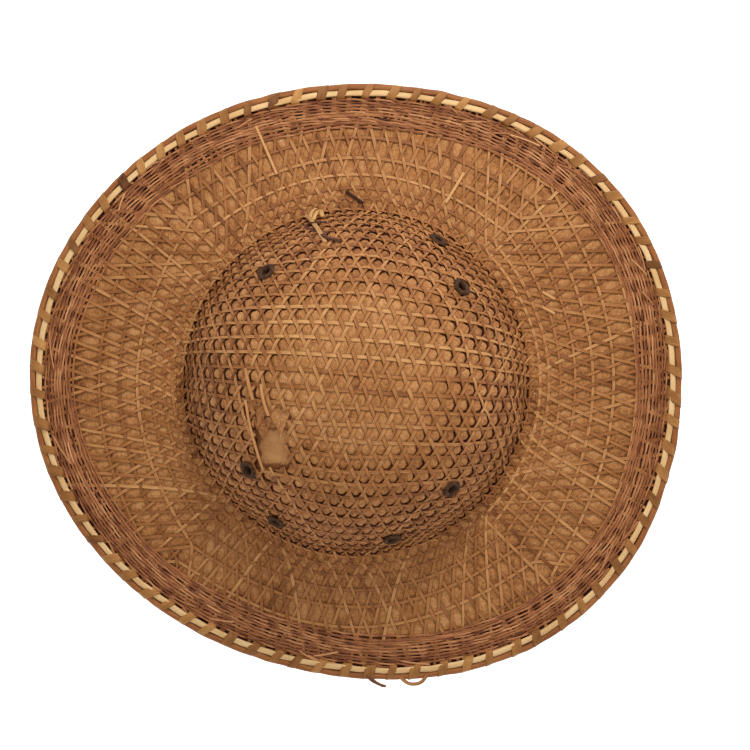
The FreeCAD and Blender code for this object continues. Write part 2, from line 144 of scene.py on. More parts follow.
# Strips that are paler than the rest in places: (direction, strip number), and how much paler.
PALE_STRIPS = {(0, 4): 0.1, (0, 3): 0.2, (0, 2): 0.14, (0, -1): 0.1, (1, -9): 0.22, (1, -10): 0.2,
               (2, 5): 0.1}

SIDE_START = TOP_RADIUS * math.sin(TOP_ANGLE)
WALL_END = FOOT_RADIUS - FOOT_FILLET * (math.sin(WALL_ANGLE) - math.sin(FOOT_ANGLE))
SIDE_RADIUS = (WALL_END - SIDE_START) / (math.sin(WALL_ANGLE) - math.sin(TOP_ANGLE))
TOP_ARC = TOP_RADIUS * TOP_ANGLE
SIDE_ARC = SIDE_RADIUS * (WALL_ANGLE - TOP_ANGLE)
CROWN_ARC = TOP_ARC + SIDE_ARC + FOOT_FILLET * (WALL_ANGLE - FOOT_ANGLE)
WALL_END_Z = FOOT_HEIGHT + FOOT_FILLET * (math.cos(FOOT_ANGLE) - math.cos(WALL_ANGLE))
SIDE_START_Z = WALL_END_Z + SIDE_RADIUS * (math.cos(TOP_ANGLE) - math.cos(WALL_ANGLE))
APEX_Z = SIDE_START_Z + TOP_RADIUS * (1 - math.cos(TOP_ANGLE))


# ---- the hat's surface

def smooth(x):
    """Eases from 0 to 1."""
    x = np.clip(x, 0.0, 1.0)
    return x * x * (3 - 2 * x)


def wander(points, size, seed):
    """Smooth noise from about -1 to 1 at points, with features of about that size."""
    count = 14
    random = np.random.default_rng(seed)
    waves = random.normal(size=(count, points.shape[-1]))
    lengths = np.linalg.norm(waves, axis=1, keepdims=True)
    waves *= random.uniform(0.6, 1.5, (count, 1)) * TAU / size / lengths / 1.3
    shifts = random.uniform(0, TAU, count)
    return np.sin(points @ waves.T + shifts).sum(-1) / 4.5


def unit(v):
    """Vectors scaled to length 1."""
    return v / np.maximum(np.linalg.norm(v, axis=-1, keepdims=True), 1e-9)


def polar(r, angle, z):
    """Points from a radius, a direction and a height."""
    return np.stack([r * np.cos(angle), r * np.sin(angle), z + 0 * angle], -1)


def round_trip(count):
    """Directions all the way round the hat."""
    return np.linspace(0, TAU, count, endpoint=False)


def circle(angle):
    """Points of a unit circle, for noise that closes on itself."""
    return np.stack([np.cos(angle), np.sin(angle)], -1)


def rim_radius(angle):
    """Radius of the rim's outermost edge in a direction from the middle."""
    return RIM_MEAN + sum(h * np.cos(n * (angle - math.radians(c))) for n, h, c in RIM_WAVES)


def crown_profile(s):
    """Radius, height and slope of the crown at a distance s along it from the top."""
    on_top, on_side = s <= TOP_ARC, s <= TOP_ARC + SIDE_ARC
    side_slope = TOP_ANGLE + (s - TOP_ARC) / SIDE_RADIUS
    foot_slope = WALL_ANGLE - (s - TOP_ARC - SIDE_ARC) / FOOT_FILLET
    slope = np.where(on_top, s / TOP_RADIUS, np.where(on_side, side_slope, foot_slope))
    sine, cosine = np.sin(slope), np.cos(slope)
    r_side = SIDE_START + SIDE_RADIUS * (sine - math.sin(TOP_ANGLE))
    r_foot = WALL_END + FOOT_FILLET * (math.sin(WALL_ANGLE) - sine)
    z_side = SIDE_START_Z - SIDE_RADIUS * (math.cos(TOP_ANGLE) - cosine)
    z_foot = WALL_END_Z - FOOT_FILLET * (cosine - math.cos(WALL_ANGLE))
    r = np.where(on_top, TOP_RADIUS * sine, np.where(on_side, r_side, r_foot))
    z = np.where(on_top, APEX_Z - TOP_RADIUS * (1 - cosine), np.where(on_side, z_side, z_foot))
    return r, z, slope


def crown_surface(s, angle):
    """Points on the crown and its outward normals."""
    r, z, slope = crown_profile(s)
    return polar(r, angle, z), polar(np.sin(slope), angle, np.cos(slope))


def crown_distance(radius):
    """Distance along the crown from its top to where it has that radius."""
    distances = np.linspace(0, TOP_ARC + SIDE_ARC, 4000)
    return float(np.interp(radius, crown_profile(distances)[0], distances))


def brim_surface(angle, r):
    """Points on the brim and its upward normals."""
    reach = rim_radius(angle) - FOOT_RADIUS
    u = (r - FOOT_RADIUS) / reach
    z = FOOT_HEIGHT + (RIM_HEIGHT - FOOT_HEIGHT) * ((1 - BRIM_DROOP) * u + BRIM_DROOP * u * u)
    tilt = np.arctan((FOOT_HEIGHT - RIM_HEIGHT) / reach * (1 - BRIM_DROOP + 2 * BRIM_DROOP * u))
    return polar(r, angle, z), polar(np.sin(tilt), angle, np.cos(tilt))


def crown_place(x, y, rings=RINGS, turn=CROWN_TURN):
    """Where a point of the flat weave lies on the crown: distance from the top, direction."""
    scale = RINGS / rings
    flat = np.arctan2(y, x)
    middle = (np.floor(flat / SIXTH) + 0.5) * SIXTH
    ring = np.hypot(x, y) * np.cos(flat - middle) / COS30 * scale
    lean = np.tan(flat - middle) / math.tan(SIXTH / 2)
    share = smooth(ring / RINGS)
    fade = 1 - smooth((ring - RINGS + CORNER_FADE) / CORNER_FADE)
    corner = CORNER_BULGE * ring * (lean ** 4 - 0.2) * fade
    even = ring / RINGS * CROWN_ARC + corner
    flat_x, flat_y = x * scale * TOP_PITCH[0], y * scale * TOP_PITCH[1]
    s = (1 - share) * np.hypot(flat_x, flat_y) + share * even
    angle = (1 - share) * np.arctan2(flat_y, flat_x) + share * (middle + lean * SIXTH / 2)
    return np.minimum(s, CROWN_ARC), angle + turn


def brim_place(side, ring, along):
    """Where a place on the brim's weave lies: direction, radius. Ring 0 is the crown's foot."""
    holes = SIDE_HOLES + ring
    angle = (side + along / holes) * TAU / BRIM_SIDES
    lean = 2 * along / holes
    spread = (ROW_FIRST * ring + ROW_GROWTH * ring ** 2) * (1 + NORTH_STRETCH * np.sin(angle) ** 2)
    return angle, FOOT_RADIUS + spread + CORNER_REACH * lean ** 4 * smooth(ring / 5)


def nearest_line(across, falling, rising):
    """Distance in holes from a place to the nearest strip of the three directions."""
    gaps = [np.abs(line - np.round(line)) for line in (across, falling, rising)]
    return np.minimum(np.minimum(gaps[0], gaps[1]), gaps[2])


# ---- meshes

def show(name, data):
    """Puts a mesh, lamp or camera in the scene."""
    thing = bpy.data.objects.new(name, data)
    bpy.context.scene.collection.objects.link(thing)
    return thing


class Piece:
    """Gathers closed parts, then becomes one mesh object."""

    def __init__(self, name, node, slot, material):
        self.name, self.node, self.slot, self.material = name, node, slot, material
        self.points, self.faces, self.grain, self.tint = [], [], [], []
        self.count = 0

    def add(self, points, faces, grain, tint=0.0):
        """Adds points (n, 3), faces (m, 4), grain (n, 3) and one tint or one for each point."""
        self.points.append(points)
        self.faces.append(np.asarray(faces) + self.count)
        self.grain.append(grain)
        self.tint.append(np.broadcast_to(tint, len(points)))
        self.count += len(points)

    def build(self):
        """Makes the object, puts it under the root body and hides the part of model.glb that it stands for.
        """
        points = np.concatenate(self.points) * MM + CROWN_AXIS
        faces = np.concatenate(self.faces)
        mesh = bpy.data.meshes.new(self.name)
        mesh.from_pydata(points.tolist(), [], [tuple(dict.fromkeys(f)) for f in faces.tolist()])
        grain = mesh.attributes.new("grain", "FLOAT_VECTOR", "POINT")
        grain.data.foreach_set("vector", np.concatenate(self.grain).astype(np.float32).ravel())
        tint = mesh.attributes.new("tint", "FLOAT", "POINT")
        tint.data.foreach_set("value", np.concatenate(self.tint).astype(np.float32))
        mesh.polygons.foreach_set("use_smooth", [True] * len(mesh.polygons))
        mesh.materials.append(self.material)
        piece = show(self.name, mesh)
        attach(piece, "root")
        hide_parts(self.node)


# Outlines of strips, one unit wide and one thick: a splint with a groove, a flat strip, a lashing cane
# with ribs, the lowest hoop and a fine round splint.
SPLINT = np.array([(-0.5, -0.1), (-0.44, 0.42), (-0.2, 0.5), (0.0, -0.1), (0.2, 0.5), (0.44, 0.42),
                   (0.5, -0.1), (0.36, -0.5), (-0.36, -0.5)])
FLAT = np.array([(-0.5, -0.2), (-0.45, 0.4), (-0.15, 0.5), (0.15, 0.5), (0.45, 0.4), (0.5, -0.2),
                 (0.38, -0.5), (-0.38, -0.5)])
CANE = np.array([(-0.5, -0.3), (-0.46, 0.3), (-0.34, 0.5), (-0.2, 0.28), (-0.06, 0.5), (0.1, 0.46),
                 (0.2, 0.2), (0.34, 0.48), (0.46, 0.3), (0.5, -0.3), (0.25, -0.5), (-0.25, -0.5)])
UNDER = np.array([(-0.5, -0.42), (-0.42, 0.5), (0.42, 0.5), (0.5, -0.42), (0.4, -0.5), (-0.4, -0.5)])
ROUND = np.array([(0.5 * math.cos(a), 0.5 * math.sin(a)) for a in np.arange(7) * -TAU / 7])


def ribbon(piece, centres, normals, width, thick, outline=SPLINT, tint=0.0, closed=False):
    """Adds a strip along centres whose flat side faces normals, with one tint or one for each."""
    n, m = len(centres), len(outline)
    if closed:
        ahead = np.roll(centres, -1, 0) - np.roll(centres, 1, 0)
    else:
        ahead = np.gradient(centres, axis=0)
    side = unit(np.cross(ahead, normals))
    up = unit(np.cross(side, ahead))
    width = np.broadcast_to(width, n)[:, None, None]
    across, rise = outline[None, :, 0, None], outline[None, :, 1, None]
    points = centres[:, None] + side[:, None] * across * width + up[:, None] * rise * thick
    ring, i = np.meshgrid(np.arange(n if closed else n - 1), np.arange(m), indexing="ij")
    beyond, j = (ring + 1) % n, (i + 1) % m
    faces = np.stack([ring * m + i, ring * m + j, beyond * m + j, beyond * m + i], -1).reshape(-1, 4)
    if not closed:
        caps = []
        for base, turn in ((0, 1), ((n - 1) * m, -1)):
            order = [base + k for k in range(m)][::-turn]
            for k in range(1, m - 2, 2):
                caps.append([order[0], order[k], order[k + 1], order[min(k + 2, m - 1)]])
        faces = np.concatenate([faces, np.array(caps)])
    length = np.concatenate([[0], np.cumsum(np.linalg.norm(np.diff(centres, axis=0), axis=1))])
    grain = np.empty((n, m, 3))
    grain[..., 0] = length[:, None] + draw.uniform(0, 900)
    grain[..., 1] = outline[None, :, 0] * width[:, :, 0]
    grain[..., 2] = draw.uniform(0, 100)
    if np.size(tint) == n:
        tint = np.repeat(tint, m)
    piece.add(points.reshape(-1, 3), faces, grain.reshape(-1, 3), tint)


def skin(piece, points, normals, height, thick, keep=None, wrap=True, tint=0.0):
    """Adds a closed skin at a height over a grid of points, without the cells that keep says no to.

    Its lower side has no shade much darker than the material's own.
    """
    upper, lower = points + normals * height[..., None], points + normals * (height - thick)[..., None]
    rows, columns = height.shape
    across = columns if wrap else columns - 1
    r, c = np.meshgrid(np.arange(rows - 1), np.arange(across), indexing="ij")
    near, far = r * columns + c, r * columns + (c + 1) % columns
    cells = np.stack([near, near + columns, far + columns, far], -1).reshape(-1, 4)
    if keep is not None:
        cells = cells[keep[:-1, :across].reshape(-1)]
    total = rows * columns
    edges = np.stack([cells, np.roll(cells, -1, 1)], -1).reshape(-1, 2)
    code = edges[:, 0] * total + edges[:, 1]
    border = edges[~np.isin(code, edges[:, 1] * total + edges[:, 0])]
    walls = np.stack([border[:, 1], border[:, 0], border[:, 0] + total, border[:, 1] + total], -1)
    faces = np.concatenate([cells, cells[:, ::-1] + total, walls])
    points = np.concatenate([upper.reshape(-1, 3), lower.reshape(-1, 3)])
    used = np.zeros(2 * total, bool)
    used[faces.ravel()] = True
    renumber = np.cumsum(used) - 1
    tint = np.broadcast_to(tint, (rows, columns)).ravel()
    tint = np.concatenate([tint, np.maximum(tint, -0.08)])[used]
    piece.add(points[used], renumber[faces], points[used], tint)


def round_corners(route, share, times):
    """Rounds a closed flat route by cutting off that share of each side at its corners."""
    for _ in range(times):
        ahead = np.roll(route, -1, 0)
        route = np.stack([route * (1 - share) + ahead * share, route * share + ahead * (1 - share)], 1)
        route = route.reshape(-1, 2)
    return route


# ---- materials

class Shader:
    """Short ways to wire a material's nodes."""

    def __init__(self, name):
        self.material = bpy.data.materials.new(name)
        self.material.use_nodes = True
        self.nodes, self.links = self.material.node_tree.nodes, self.material.node_tree.links
        self.surface = self.nodes["Principled BSDF"]

    def put(self, socket, value):
        """Sets a socket to a constant or joins it to an output."""
        if hasattr(value, "is_output"):
            self.links.new(value, socket)
        else:
            socket.default_value = value

    def node(self, kind, inputs, **settings):
        """A new node with its settings and its inputs."""
        node = self.nodes.new("ShaderNode" + kind)
        for name, value in settings.items():
            setattr(node, name, value)
        for name, value in inputs.items():
            self.put(node.inputs[name], value)
        return node

    def grain(self):
        return self.node("Attribute", {}, attribute_name="grain").outputs["Vector"]

    def tint(self):
        return self.node("Attribute", {}, attribute_name="tint").outputs["Fac"]

    def stretch(self, vector, scale):
        return self.node("VectorMath", {0: vector, 1: scale}, operation="MULTIPLY").outputs[0]

    def part(self, vector, axis):
        return self.node("SeparateXYZ", {0: vector}).outputs[axis]

    def noise(self, vector, scale=1.0, detail=3.0, rough=0.6):
        inputs = {"Vector": vector, "Scale": scale, "Detail": detail, "Roughness": rough}
        return self.node("TexNoise", inputs).outputs["Fac"]

    def random(self, value):
        return self.node("TexWhiteNoise", {"W": value}, noise_dimensions="1D").outputs["Value"]

    def math(self, operation, *values):
        return self.node("Math", dict(enumerate(values)), operation=operation).outputs[0]

    def blend(self, start, *shares):
        """The start plus a sum of values, each times its weight."""
        for value, weight in shares:
            start = self.math("MULTIPLY_ADD", value, weight, start)
        return start

    def ramp(self, value, stops):
        node = self.node("ValToRGB", {0: value})
        band = node.color_ramp
        while len(band.elements) < len(stops):
            band.elements.new(0.5)
        for element, (place, colour) in zip(band.elements, stops):
            element.position = place
            element.color = tone(colour)
        return node.outputs["Color"]

    def mix(self, share, a, b):
        inputs = {"Factor": share, "A": a, "B": b}
        return self.node("Mix", inputs, data_type="RGBA").outputs["Result"]

    def bump(self, height, distance, strength):
        node = self.node("Bump", {"Height": height, "Distance": distance, "Strength": strength})
        self.put(self.surface.inputs["Normal"], node.outputs[0])

    def finish(self, colour, roughness, specular=0.2):
        self.put(self.surface.inputs["Base Color"], colour)
        self.put(self.surface.inputs["Roughness"], roughness)
        self.surface.inputs["Specular IOR Level"].default_value = specular
        return self.material


def tone(rgb):
    """A colour given as it looks on a screen, 0 to 255, in the linear values that nodes use."""
    levels = [c / 255 for c in rgb]
    return tuple(c / 12.92 if c <= 0.04045 else ((c + 0.055) / 1.055) ** 2.4 for c in levels) + (1.0,)


def bamboo(name, dark, middle, pale, fibre=2.4, edge=1.0, groove=0.0):
    """Split bamboo: a shade for each strip, fibres, stains, and painted shade along its edges and maybe
    along a groove.
    """
    s = Shader(name)
    grain = s.grain()
    own = s.random(s.part(grain, "Z"))
    fibres = s.noise(s.stretch(grain, (0.05, fibre, 13.0)), 1.0, 4.0, 0.65)
    stains = s.noise(s.stretch(grain, (0.045, 0.12, 7.0)), 1.0, 3.0, 0.6)
    shade = s.blend(-0.27, (own, 0.42), (fibres, 0.62), (stains, 0.5), (s.tint(), 1.0))
    darkest = (dark[0] * 0.5, dark[1] * 0.36, dark[2] * 0.3)
    colour = s.ramp(shade, [(0.0, darkest), (0.12, dark), (0.5, middle), (0.88, pale)])
    aside = s.math("ABSOLUTE", s.part(grain, "Y"))
    # Painted shade: the strip's edges and the line along its groove are mixed toward a dark colour.
    rim = s.math("MULTIPLY", s.math("POWER", aside, 2.0), 0.34 * edge)
    centre = s.math("MAXIMUM", s.blend(groove, (aside, -4.0 * groove)), 0.0)
    rim = s.math("MAXIMUM", rim, centre)
    colour = s.mix(s.math("MINIMUM", rim, 0.55), colour, tone([c * 0.55 for c in dark]))
    s.bump(fibres, 0.00025, 0.7)
    return s.finish(colour, s.blend(0.42, (stains, 0.2)))


def dried_leaf(name, dark, middle, pale):
    """Overlapping dried bamboo leaves: veins, creases, patches, a near-black red for the painted shade in
    the slots, and a few pale specks painted as glints.
    """
    s = Shader(name)
    grain = s.grain()
    veins = s.noise(s.stretch(grain, (1.6, 0.16, 0.5)), 1.0, 3.0, 0.55)
    patches = s.noise(grain, 0.035, 3.0, 0.6)
    crumple = s.noise(grain, 0.42, 4.0, 0.62)
    shade = s.blend(-0.2, (veins, 0.3), (patches, 0.45), (crumple, 0.66), (s.tint(), 1.0))
    # The darkest stop is there for the painted shade in the slots by the holes.
    colour = s.ramp(shade, [(0.0, (56, 17, 6)), (0.2, dark), (0.5, middle), (0.82, pale)])
    # Painted glints: a few pale specks.
    painted_glint = s.blend(s.noise(grain, 0.9, 1.0, 0.4), (patches, 0.35))
    painted_glint = s.math("MULTIPLY", s.math("GREATER_THAN", painted_glint, 0.97), 0.8)
    colour = s.mix(painted_glint, colour, tone((240, 226, 206)))
    s.bump(s.blend(crumple, (veins, 0.6)), 0.0014, 0.9)
    return s.finish(colour, s.blend(0.5, (crumple, 0.25)))


def oiled_paper(name, dark, middle, pale):
    """Smooth aged paper with soft stains and faint fibres."""
    s = Shader(name)
    grain = s.grain()
    stains = s.noise(grain, 0.05, 4.0, 0.55)
    fibres = s.noise(s.stretch(grain, (0.3, 1.4, 0.6)), 1.0, 3.0, 0.6)
    shade = s.blend(s.tint(), (stains, 0.7), (fibres, 0.3))
    colour = s.ramp(shade, [(0.25, dark), (0.5, middle), (0.75, pale)])
    s.bump(fibres, 0.0003, 0.5)
    return s.finish(colour, s.blend(0.55, (stains, 0.2)), 0.35)


def old_metal(name):
    """Dark tarnished brass, worn brighter in places."""
    s = Shader(name)
    grain = s.grain()
    wear = s.noise(grain, 0.5, 4.0, 0.6)
    scratches = s.noise(s.stretch(grain, (3.0, 0.5, 3.0)), 1.0, 3.0, 0.7)
    colour = s.ramp(wear, [(0.3, (44, 26, 16)), (0.55, (76, 50, 32)), (0.8, (112, 78, 50))])
    s.surface.inputs["Metallic"].default_value = 0.05
    s.bump(scratches, 0.0002, 0.5)
    return s.finish(colour, s.blend(0.55, (scratches, 0.25)), 0.12)


def studio_floor(name):
    """A plain white floor, lit from below like a light table except under the hat."""
    s = Shader(name)
    place = s.node("TexCoord", {}).outputs["Object"]
    colour = s.ramp(s.noise(place, 3.0, 2.0, 0.5), [(0.0, (250, 250, 250)), (1.0, (254, 254, 254))])
    s.put(s.surface.inputs["Emission Strength"], s.tint())
    s.surface.inputs["Emission Color"].default_value = (1.0, 1.0, 1.0, 1.0)
    return s.finish(colour, 0.9, 0.1)


splint_look = bamboo("splint", (110, 56, 24), (176, 113, 60), (223, 165, 104), groove=0.4)
lining_look = bamboo("lining_splint", (124, 76, 34), (180, 124, 68), (212, 164, 104))
border_look = bamboo("border", (96, 44, 20), (168, 105, 62), (226, 165, 112), fibre=3.4, edge=0.8)
pale_look = bamboo("pale_hoop", (150, 96, 48), (212, 163, 102), (240, 204, 150), fibre=1.6, edge=0.05)
brown_look = bamboo("brown_hoop", (84, 38, 15), (144, 84, 40), (184, 122, 66), fibre=1.4, edge=0.08)
cane_look = bamboo("lashing", (84, 44, 17), (150, 97, 46), (198, 142, 80), fibre=2.2, edge=0.02)
leaf_look = dried_leaf("leaf", (104, 54, 22), (176, 116, 64), (213, 156, 101))
paper_look = oiled_paper("paper", (136, 82, 40), (186, 130, 76), (212, 160, 102))
metal_look = old_metal("eyelet_metal")


# ---- outer and inner weave

DIRECTIONS = [0.0, SIXTH, 2 * SIXTH]


def line_number(x, y, direction):
    """Which strip of a direction a point of the flat weave is on; strips are at halves."""
    return (-x * math.sin(direction) + y * math.cos(direction)) / COS30


def in_tear(points, grow=0.0, top=0.0):
    """Whether points lie in the torn place, whose edge is ragged and whose top may be lower."""
    x, y = points[..., 0] - TEAR_MIDDLE[0], points[..., 1] - TEAR_MIDDLE[1]
    ragged = 1.6 * wander(points, 9.0, 5) + grow
    inside = (np.abs(x) < TEAR_SIZE[0] / 2 + ragged) & (np.abs(y) < TEAR_SIZE[1] / 2 + ragged)
    return inside & (y < TEAR_SIZE[1] / 2 + ragged - top)


def crown_weave(piece, family, rings, turn, level, lift, width, torn):
    """All the strips of one direction of the crown, each over one other direction and under the third.

    Torn says how far the torn place in them is larger than the leaf's, or is None where they are whole.
    """
    direction, crossing = DIRECTIONS[family], DIRECTIONS[(family + 1) % 3]
    cosine, sine = math.cos(direction), math.sin(direction)
    hole = 10.5 * RINGS / rings
    for k in range(-rings, rings):
        reach = rings - abs(k + 0.5) / 2
        t = np.linspace(-reach, reach, int(2 * reach * hole / STEP))
        aside = (k + 0.5) * COS30 + 0.05 * wander(np.stack([t, t * 0 + k * 7.0], -1), 6.0, 11 + family)
        x, y = t * cosine - aside * sine, t * sine + aside * cosine
        s, angle = crown_place(x, y, rings, turn)
        points, normals = crown_surface(s, angle)
        calmer = 1 - WALL_CALM * smooth((s - FLAT_TOP) / 60)
        height = level + lift * calmer * np.cos(TAU * (line_number(x, y, crossing) - 0.5))
        narrow = 1 - WALL_NARROWING * smooth((s - FLAT_TOP) / 70)
        own_width = width * narrow * draw.uniform(0.88, 1.1)
        centres = points + normals * height[:, None]
        paler, shade = PALE_STRIPS.get((family, k), 0.0), draw.normal(0, 0.035)
        tint = paler * smooth(wander(points, 60.0, 12) + 0.6) + shade
        # Painted light on the crown's top and painted shade on its wall.
        tint = tint + TOP_PAINTED_LIGHT * (1 - smooth((s - FLAT_TOP) / 40)) - WALL_PAINTED_SHADE * smooth((s - 80) / 40)
        kept = ~near_eyelet(points, 4.5)
        if torn is not None:
            kept &= ~in_tear(points, torn, 5.0)
        for run in np.split(np.arange(len(t)), np.flatnonzero(np.diff(kept)) + 1):
            if kept[run[0]] and len(run) > 4:
                ribbon(piece, centres[run], normals[run], own_width[run], STRIP_THICK, tint=tint[run])


def three_ways(layer, slot_name, look, torn, *weave):
    """One piece for each direction of a woven layer of the crown."""
    for family, word in enumerate(("level", "rising", "falling")):
        name = layer + "_strips_" + word
        piece = Piece(name + "_woven", name, slot_name, look)
        crown_weave(piece, family, *weave, torn[family])
        piece.build()


def outer_crown():
    """The crown's outer weave, open at the torn place."""
    torn = (0.5, -1.5, -2.0)
    three_ways("crown", "splint", splint_look, torn, RINGS, CROWN_TURN, 0.0, WEAVE_LIFT, TOP_WIDTH)


def lining():
    """The coarser weave inside the crown."""
    three_ways("lining", "lining_splint", lining_look, [None] * 3, LINING_RINGS, 0.0, LINING_LEVEL,
               LINING_LIFT, LINING_WIDTH)


def brim_run(side, ring, along, role):
    """Points of a strip on the brim at rings and places along a side, in one of the three roles."""
    angle, r = brim_place(side, ring, along)
    points, normals = brim_surface(angle, r)
    crossing = {"hoop": along + ring / 2, "rising": along - ring / 2, "falling": ring}[role]
    height = WEAVE_LIFT * np.cos(TAU * (crossing - 0.5))
    under_border = smooth((r - rim_radius(angle) + RIM_CLEAR + BORDER_WIDTH) / 3)
    height = height * (1 - 0.8 * under_border)
    kept = r < rim_radius(angle) - STRIP_INSET
    return points[kept] + normals[kept] * height[kept, None], normals[kept]


def down_strip(side, first, start, lean):
    """A strip that runs down the brim from a ring at the place start, leaning one way."""
    row_length = 13
    ring = np.linspace(first, BRIM_END, int((BRIM_END - first) * row_length / STEP))
    wobble = 0.06 * wander(np.stack([ring, ring * 0 + start * 5 + side], -1), 5.0, 21)
    along = start + lean * (ring - first) / 2 + wobble * smooth((ring - first) / 2)
    return brim_run(side, ring, along, "falling" if lean > 0 else "rising")


def brim_weave():
    """Strips from the crown's foot, then the long ones that bend round a side and down at both corners."""
    pieces = {lean: Piece("brim_strips_%s_woven" % word, "brim_strips_" + word, "splint", splint_look)
              for lean, word in ((-1, "clockwise"), (1, "counter"))}
    for side in range(BRIM_SIDES):
        for k in range(-SIDE_HOLES // 2, SIDE_HOLES // 2):
            for lean, piece in pieces.items():
                centres, normals = down_strip(side, 0.0, k + 0.5, lean)
                width = BRIM_WIDTH * draw.uniform(0.8, 1.12)
                ribbon(piece, centres, normals, width, STRIP_THICK, tint=draw.normal(0.0, 0.05))
    for piece in pieces.values():
        piece.build()
    hoops = Piece("brim_hoop_strips_woven", "brim_hoop_strips", "splint", splint_look)
    hole = 9.5
    for side in range(BRIM_SIDES):
        for k in range(BRIM_HOOPS):
            ring = k + 0.5
            half = (SIDE_HOLES + ring) / 2
            along = np.linspace(-half, half, int(2 * half * hole / STEP))
            middle = brim_run(side, ring + 0 * along, along, "hoop")
            before = down_strip(side - 1, ring, half, -1)
            after = down_strip(side + 1, ring, -half, 1)
            if len(middle[0]) < len(along):
                continue
            centres = np.concatenate([before[0][:0:-1], middle[0], after[0][1:]])
            normals = np.concatenate([before[1][:0:-1], middle[1], after[1][1:]])
            for _ in range(3):
                centres[1:-1] = centres[1:-1] * 0.5 + (centres[:-2] + centres[2:]) * 0.25
            ribbon(hoops, centres, normals, BRIM_WIDTH * draw.uniform(0.8, 1.1), STRIP_THICK,
                   tint=draw.normal(0.02, 0.05))
    hoops.build()


# ---- leaf and paper

def eyelet_frames():
    """Middle and outward direction of every eyelet, the empty place last."""
    frames = []
    for direction, radius in EYELETS + [EMPTY_EYELET]:
        s = np.array([crown_distance(radius)])
        point, normal = crown_surface(s, np.array([math.radians(direction)]))
        frames.append((point[0], normal[0]))
    return frames


def near_eyelet(points, reach):
    """Whether points are within reach of an eyelet's middle."""
    near = np.zeros(points.shape[:-1], bool)
    for middle, _ in eyelet_frames():
        near |= np.linalg.norm(points - middle, axis=-1) < reach
    return near


def round_grid(sides, holes):
    """Columns of a grid round the hat: how far along its side each is, from -1 to 1, and its side."""
    lean = (np.arange(holes * CELLS) + 0.5) / (holes * CELLS / 2) - 1
    return np.tile(lean, sides)[None, :], np.repeat(np.arange(sides), holes * CELLS)[None, :]


def crown_grid(ring_from, ring_to, rows):
    """A grid on the crown: flat x, y and sector's middle, s, points, normals and gap to a strip."""
    ring = np.linspace(ring_from, ring_to, rows)[:, None]
    lean, sector = round_grid(6, RINGS)
    middle = (sector + 0.5) * SIXTH
    flat = middle + np.arctan(lean * math.tan(SIXTH / 2))
    reach = ring * COS30 / np.cos(flat - middle)
    x, y = reach * np.cos(flat), reach * np.sin(flat)
    s, angle = crown_place(x, y)
    points, normals = crown_surface(s, angle)
    lines = [line_number(x, y, d) - 0.5 for d in DIRECTIONS]
    return x, y, middle, s, points, normals, nearest_line(*lines)


def crescent(x, y, middle):
    """1 on the outer side of each hole of the flat weave, where the leaf dips under the next strip and is
    painted dark as shade.
    """
    row = np.round(y / COS30)
    from_row = x - row / 2
    aside, up = from_row - np.round(from_row), y - row * COS30
    reach = np.hypot(aside, up)
    outward = (aside * np.cos(middle) + up * np.sin(middle)) / np.maximum(reach, 1e-6)
    return np.exp(-((reach - 0.355) / 0.05) ** 2) * smooth((outward - 0.2) / 0.4)


def puffed(points, gap, deep, puff):
    """Height of the leaf: pressed down under strips and puffed up between them, with wrinkles."""
    swell = smooth(gap / 0.34) * (1 + 0.35 * wander(points, 14.0, 31))
    return -deep + puff * swell + 0.2 * wander(points, 4.5, 32) + 0.25 * wander(points, 30.0, 33)


def crown_leaves():
    """The leaf on the crown in three tiers, with slots by the holes where it dips and is painted dark as
    shade, and open at the torn place.
    """
    for name, ring_from, ring_to, rows, raise_by in LEAF_TIERS:
        x, y, middle, s, points, normals, gap = crown_grid(ring_from, ring_to, rows)
        steep = smooth((s - 30) / 60)
        slot = crescent(x, y, middle) * steep * (0.75 + 0.35 * wander(points, 18.0, 36))
        height = puffed(points, gap, 1.1 + 0.1 * steep, 0.85 + 0.25 * steep) + raise_by - 1.8 * slot
        height = np.where(in_tear(points), -1.9 + 0.35 * wander(points, 5.0, 37), height)
        keep = ~(in_tear(points, 0.0, TEAR_TOP) | near_eyelet(points, 4.2))
        piece = Piece(name + "_skin", name, "leaf", leaf_look)
        tint = 0.05 * wander(points, 55.0, 34) + 0.06 * wander(points, 8.0, 38)
        # Painted shade: dark crescents in the slots and darker leaf beside and under the strips. Painted
        # light: paler leaf on the flat top.
        tint = tint - 1.05 * slot - 0.3 * (1 - smooth(gap / 0.18))
        tint = tint + LEAF_TOP_PAINTED_LIGHT * (1 - steep) - 0.06 * in_tear(points)
        if ring_from < 1:
            cap_centre(points, normals, height)
        skin(piece, points, normals, height, LEAF_THICK, keep, tint=tint)
        piece.build()


def cap_centre(points, normals, height):
    """Draws the innermost ring of a grid together at the top of the crown."""
    points[0] = (0.0, 0.0, APEX_Z)
    normals[0] = (0.0, 0.0, 1.0)
    height[0] = height[0].mean()


def brim_leaves():
    """The leaf on the brim, a grid of rings and sides like the weave's."""
    ring = np.linspace(0, BRIM_END - 1, 62)[:, None]
    lean, side = round_grid(BRIM_SIDES, SIDE_HOLES)
    along = lean * (SIDE_HOLES + ring) / 2
    angle, r = brim_place(side, ring, along)
    r = np.minimum(r, rim_radius(angle) - 6.0)
    points, normals = brim_surface(angle, r)
    gap = nearest_line(ring + 0 * along - 0.5, along - ring / 2 - 0.5, along + ring / 2 - 0.5)
    height = puffed(points, gap, 1.35, 0.75)
    border = smooth((r - rim_radius(angle) + RIM_CLEAR + BORDER_WIDTH) / 4)
    height = height * (1 - border) - 1.3 * border
    keep = r < rim_radius(angle) - 6.5
    piece = Piece("brim_leaf_skin", "brim_leaf", "leaf", leaf_look)
    tint = 0.02 + 0.06 * wander(points, 45.0, 35) + 0.07 * wander(points, 9.0, 39)
    # Painted shade: darker leaf beside the strips and under the border.
    tint = tint - 0.2 * (1 - smooth(gap / 0.16)) - 0.5 * border
    skin(piece, points, normals, height, LEAF_THICK - 0.05, keep, tint=tint)
    piece.build()


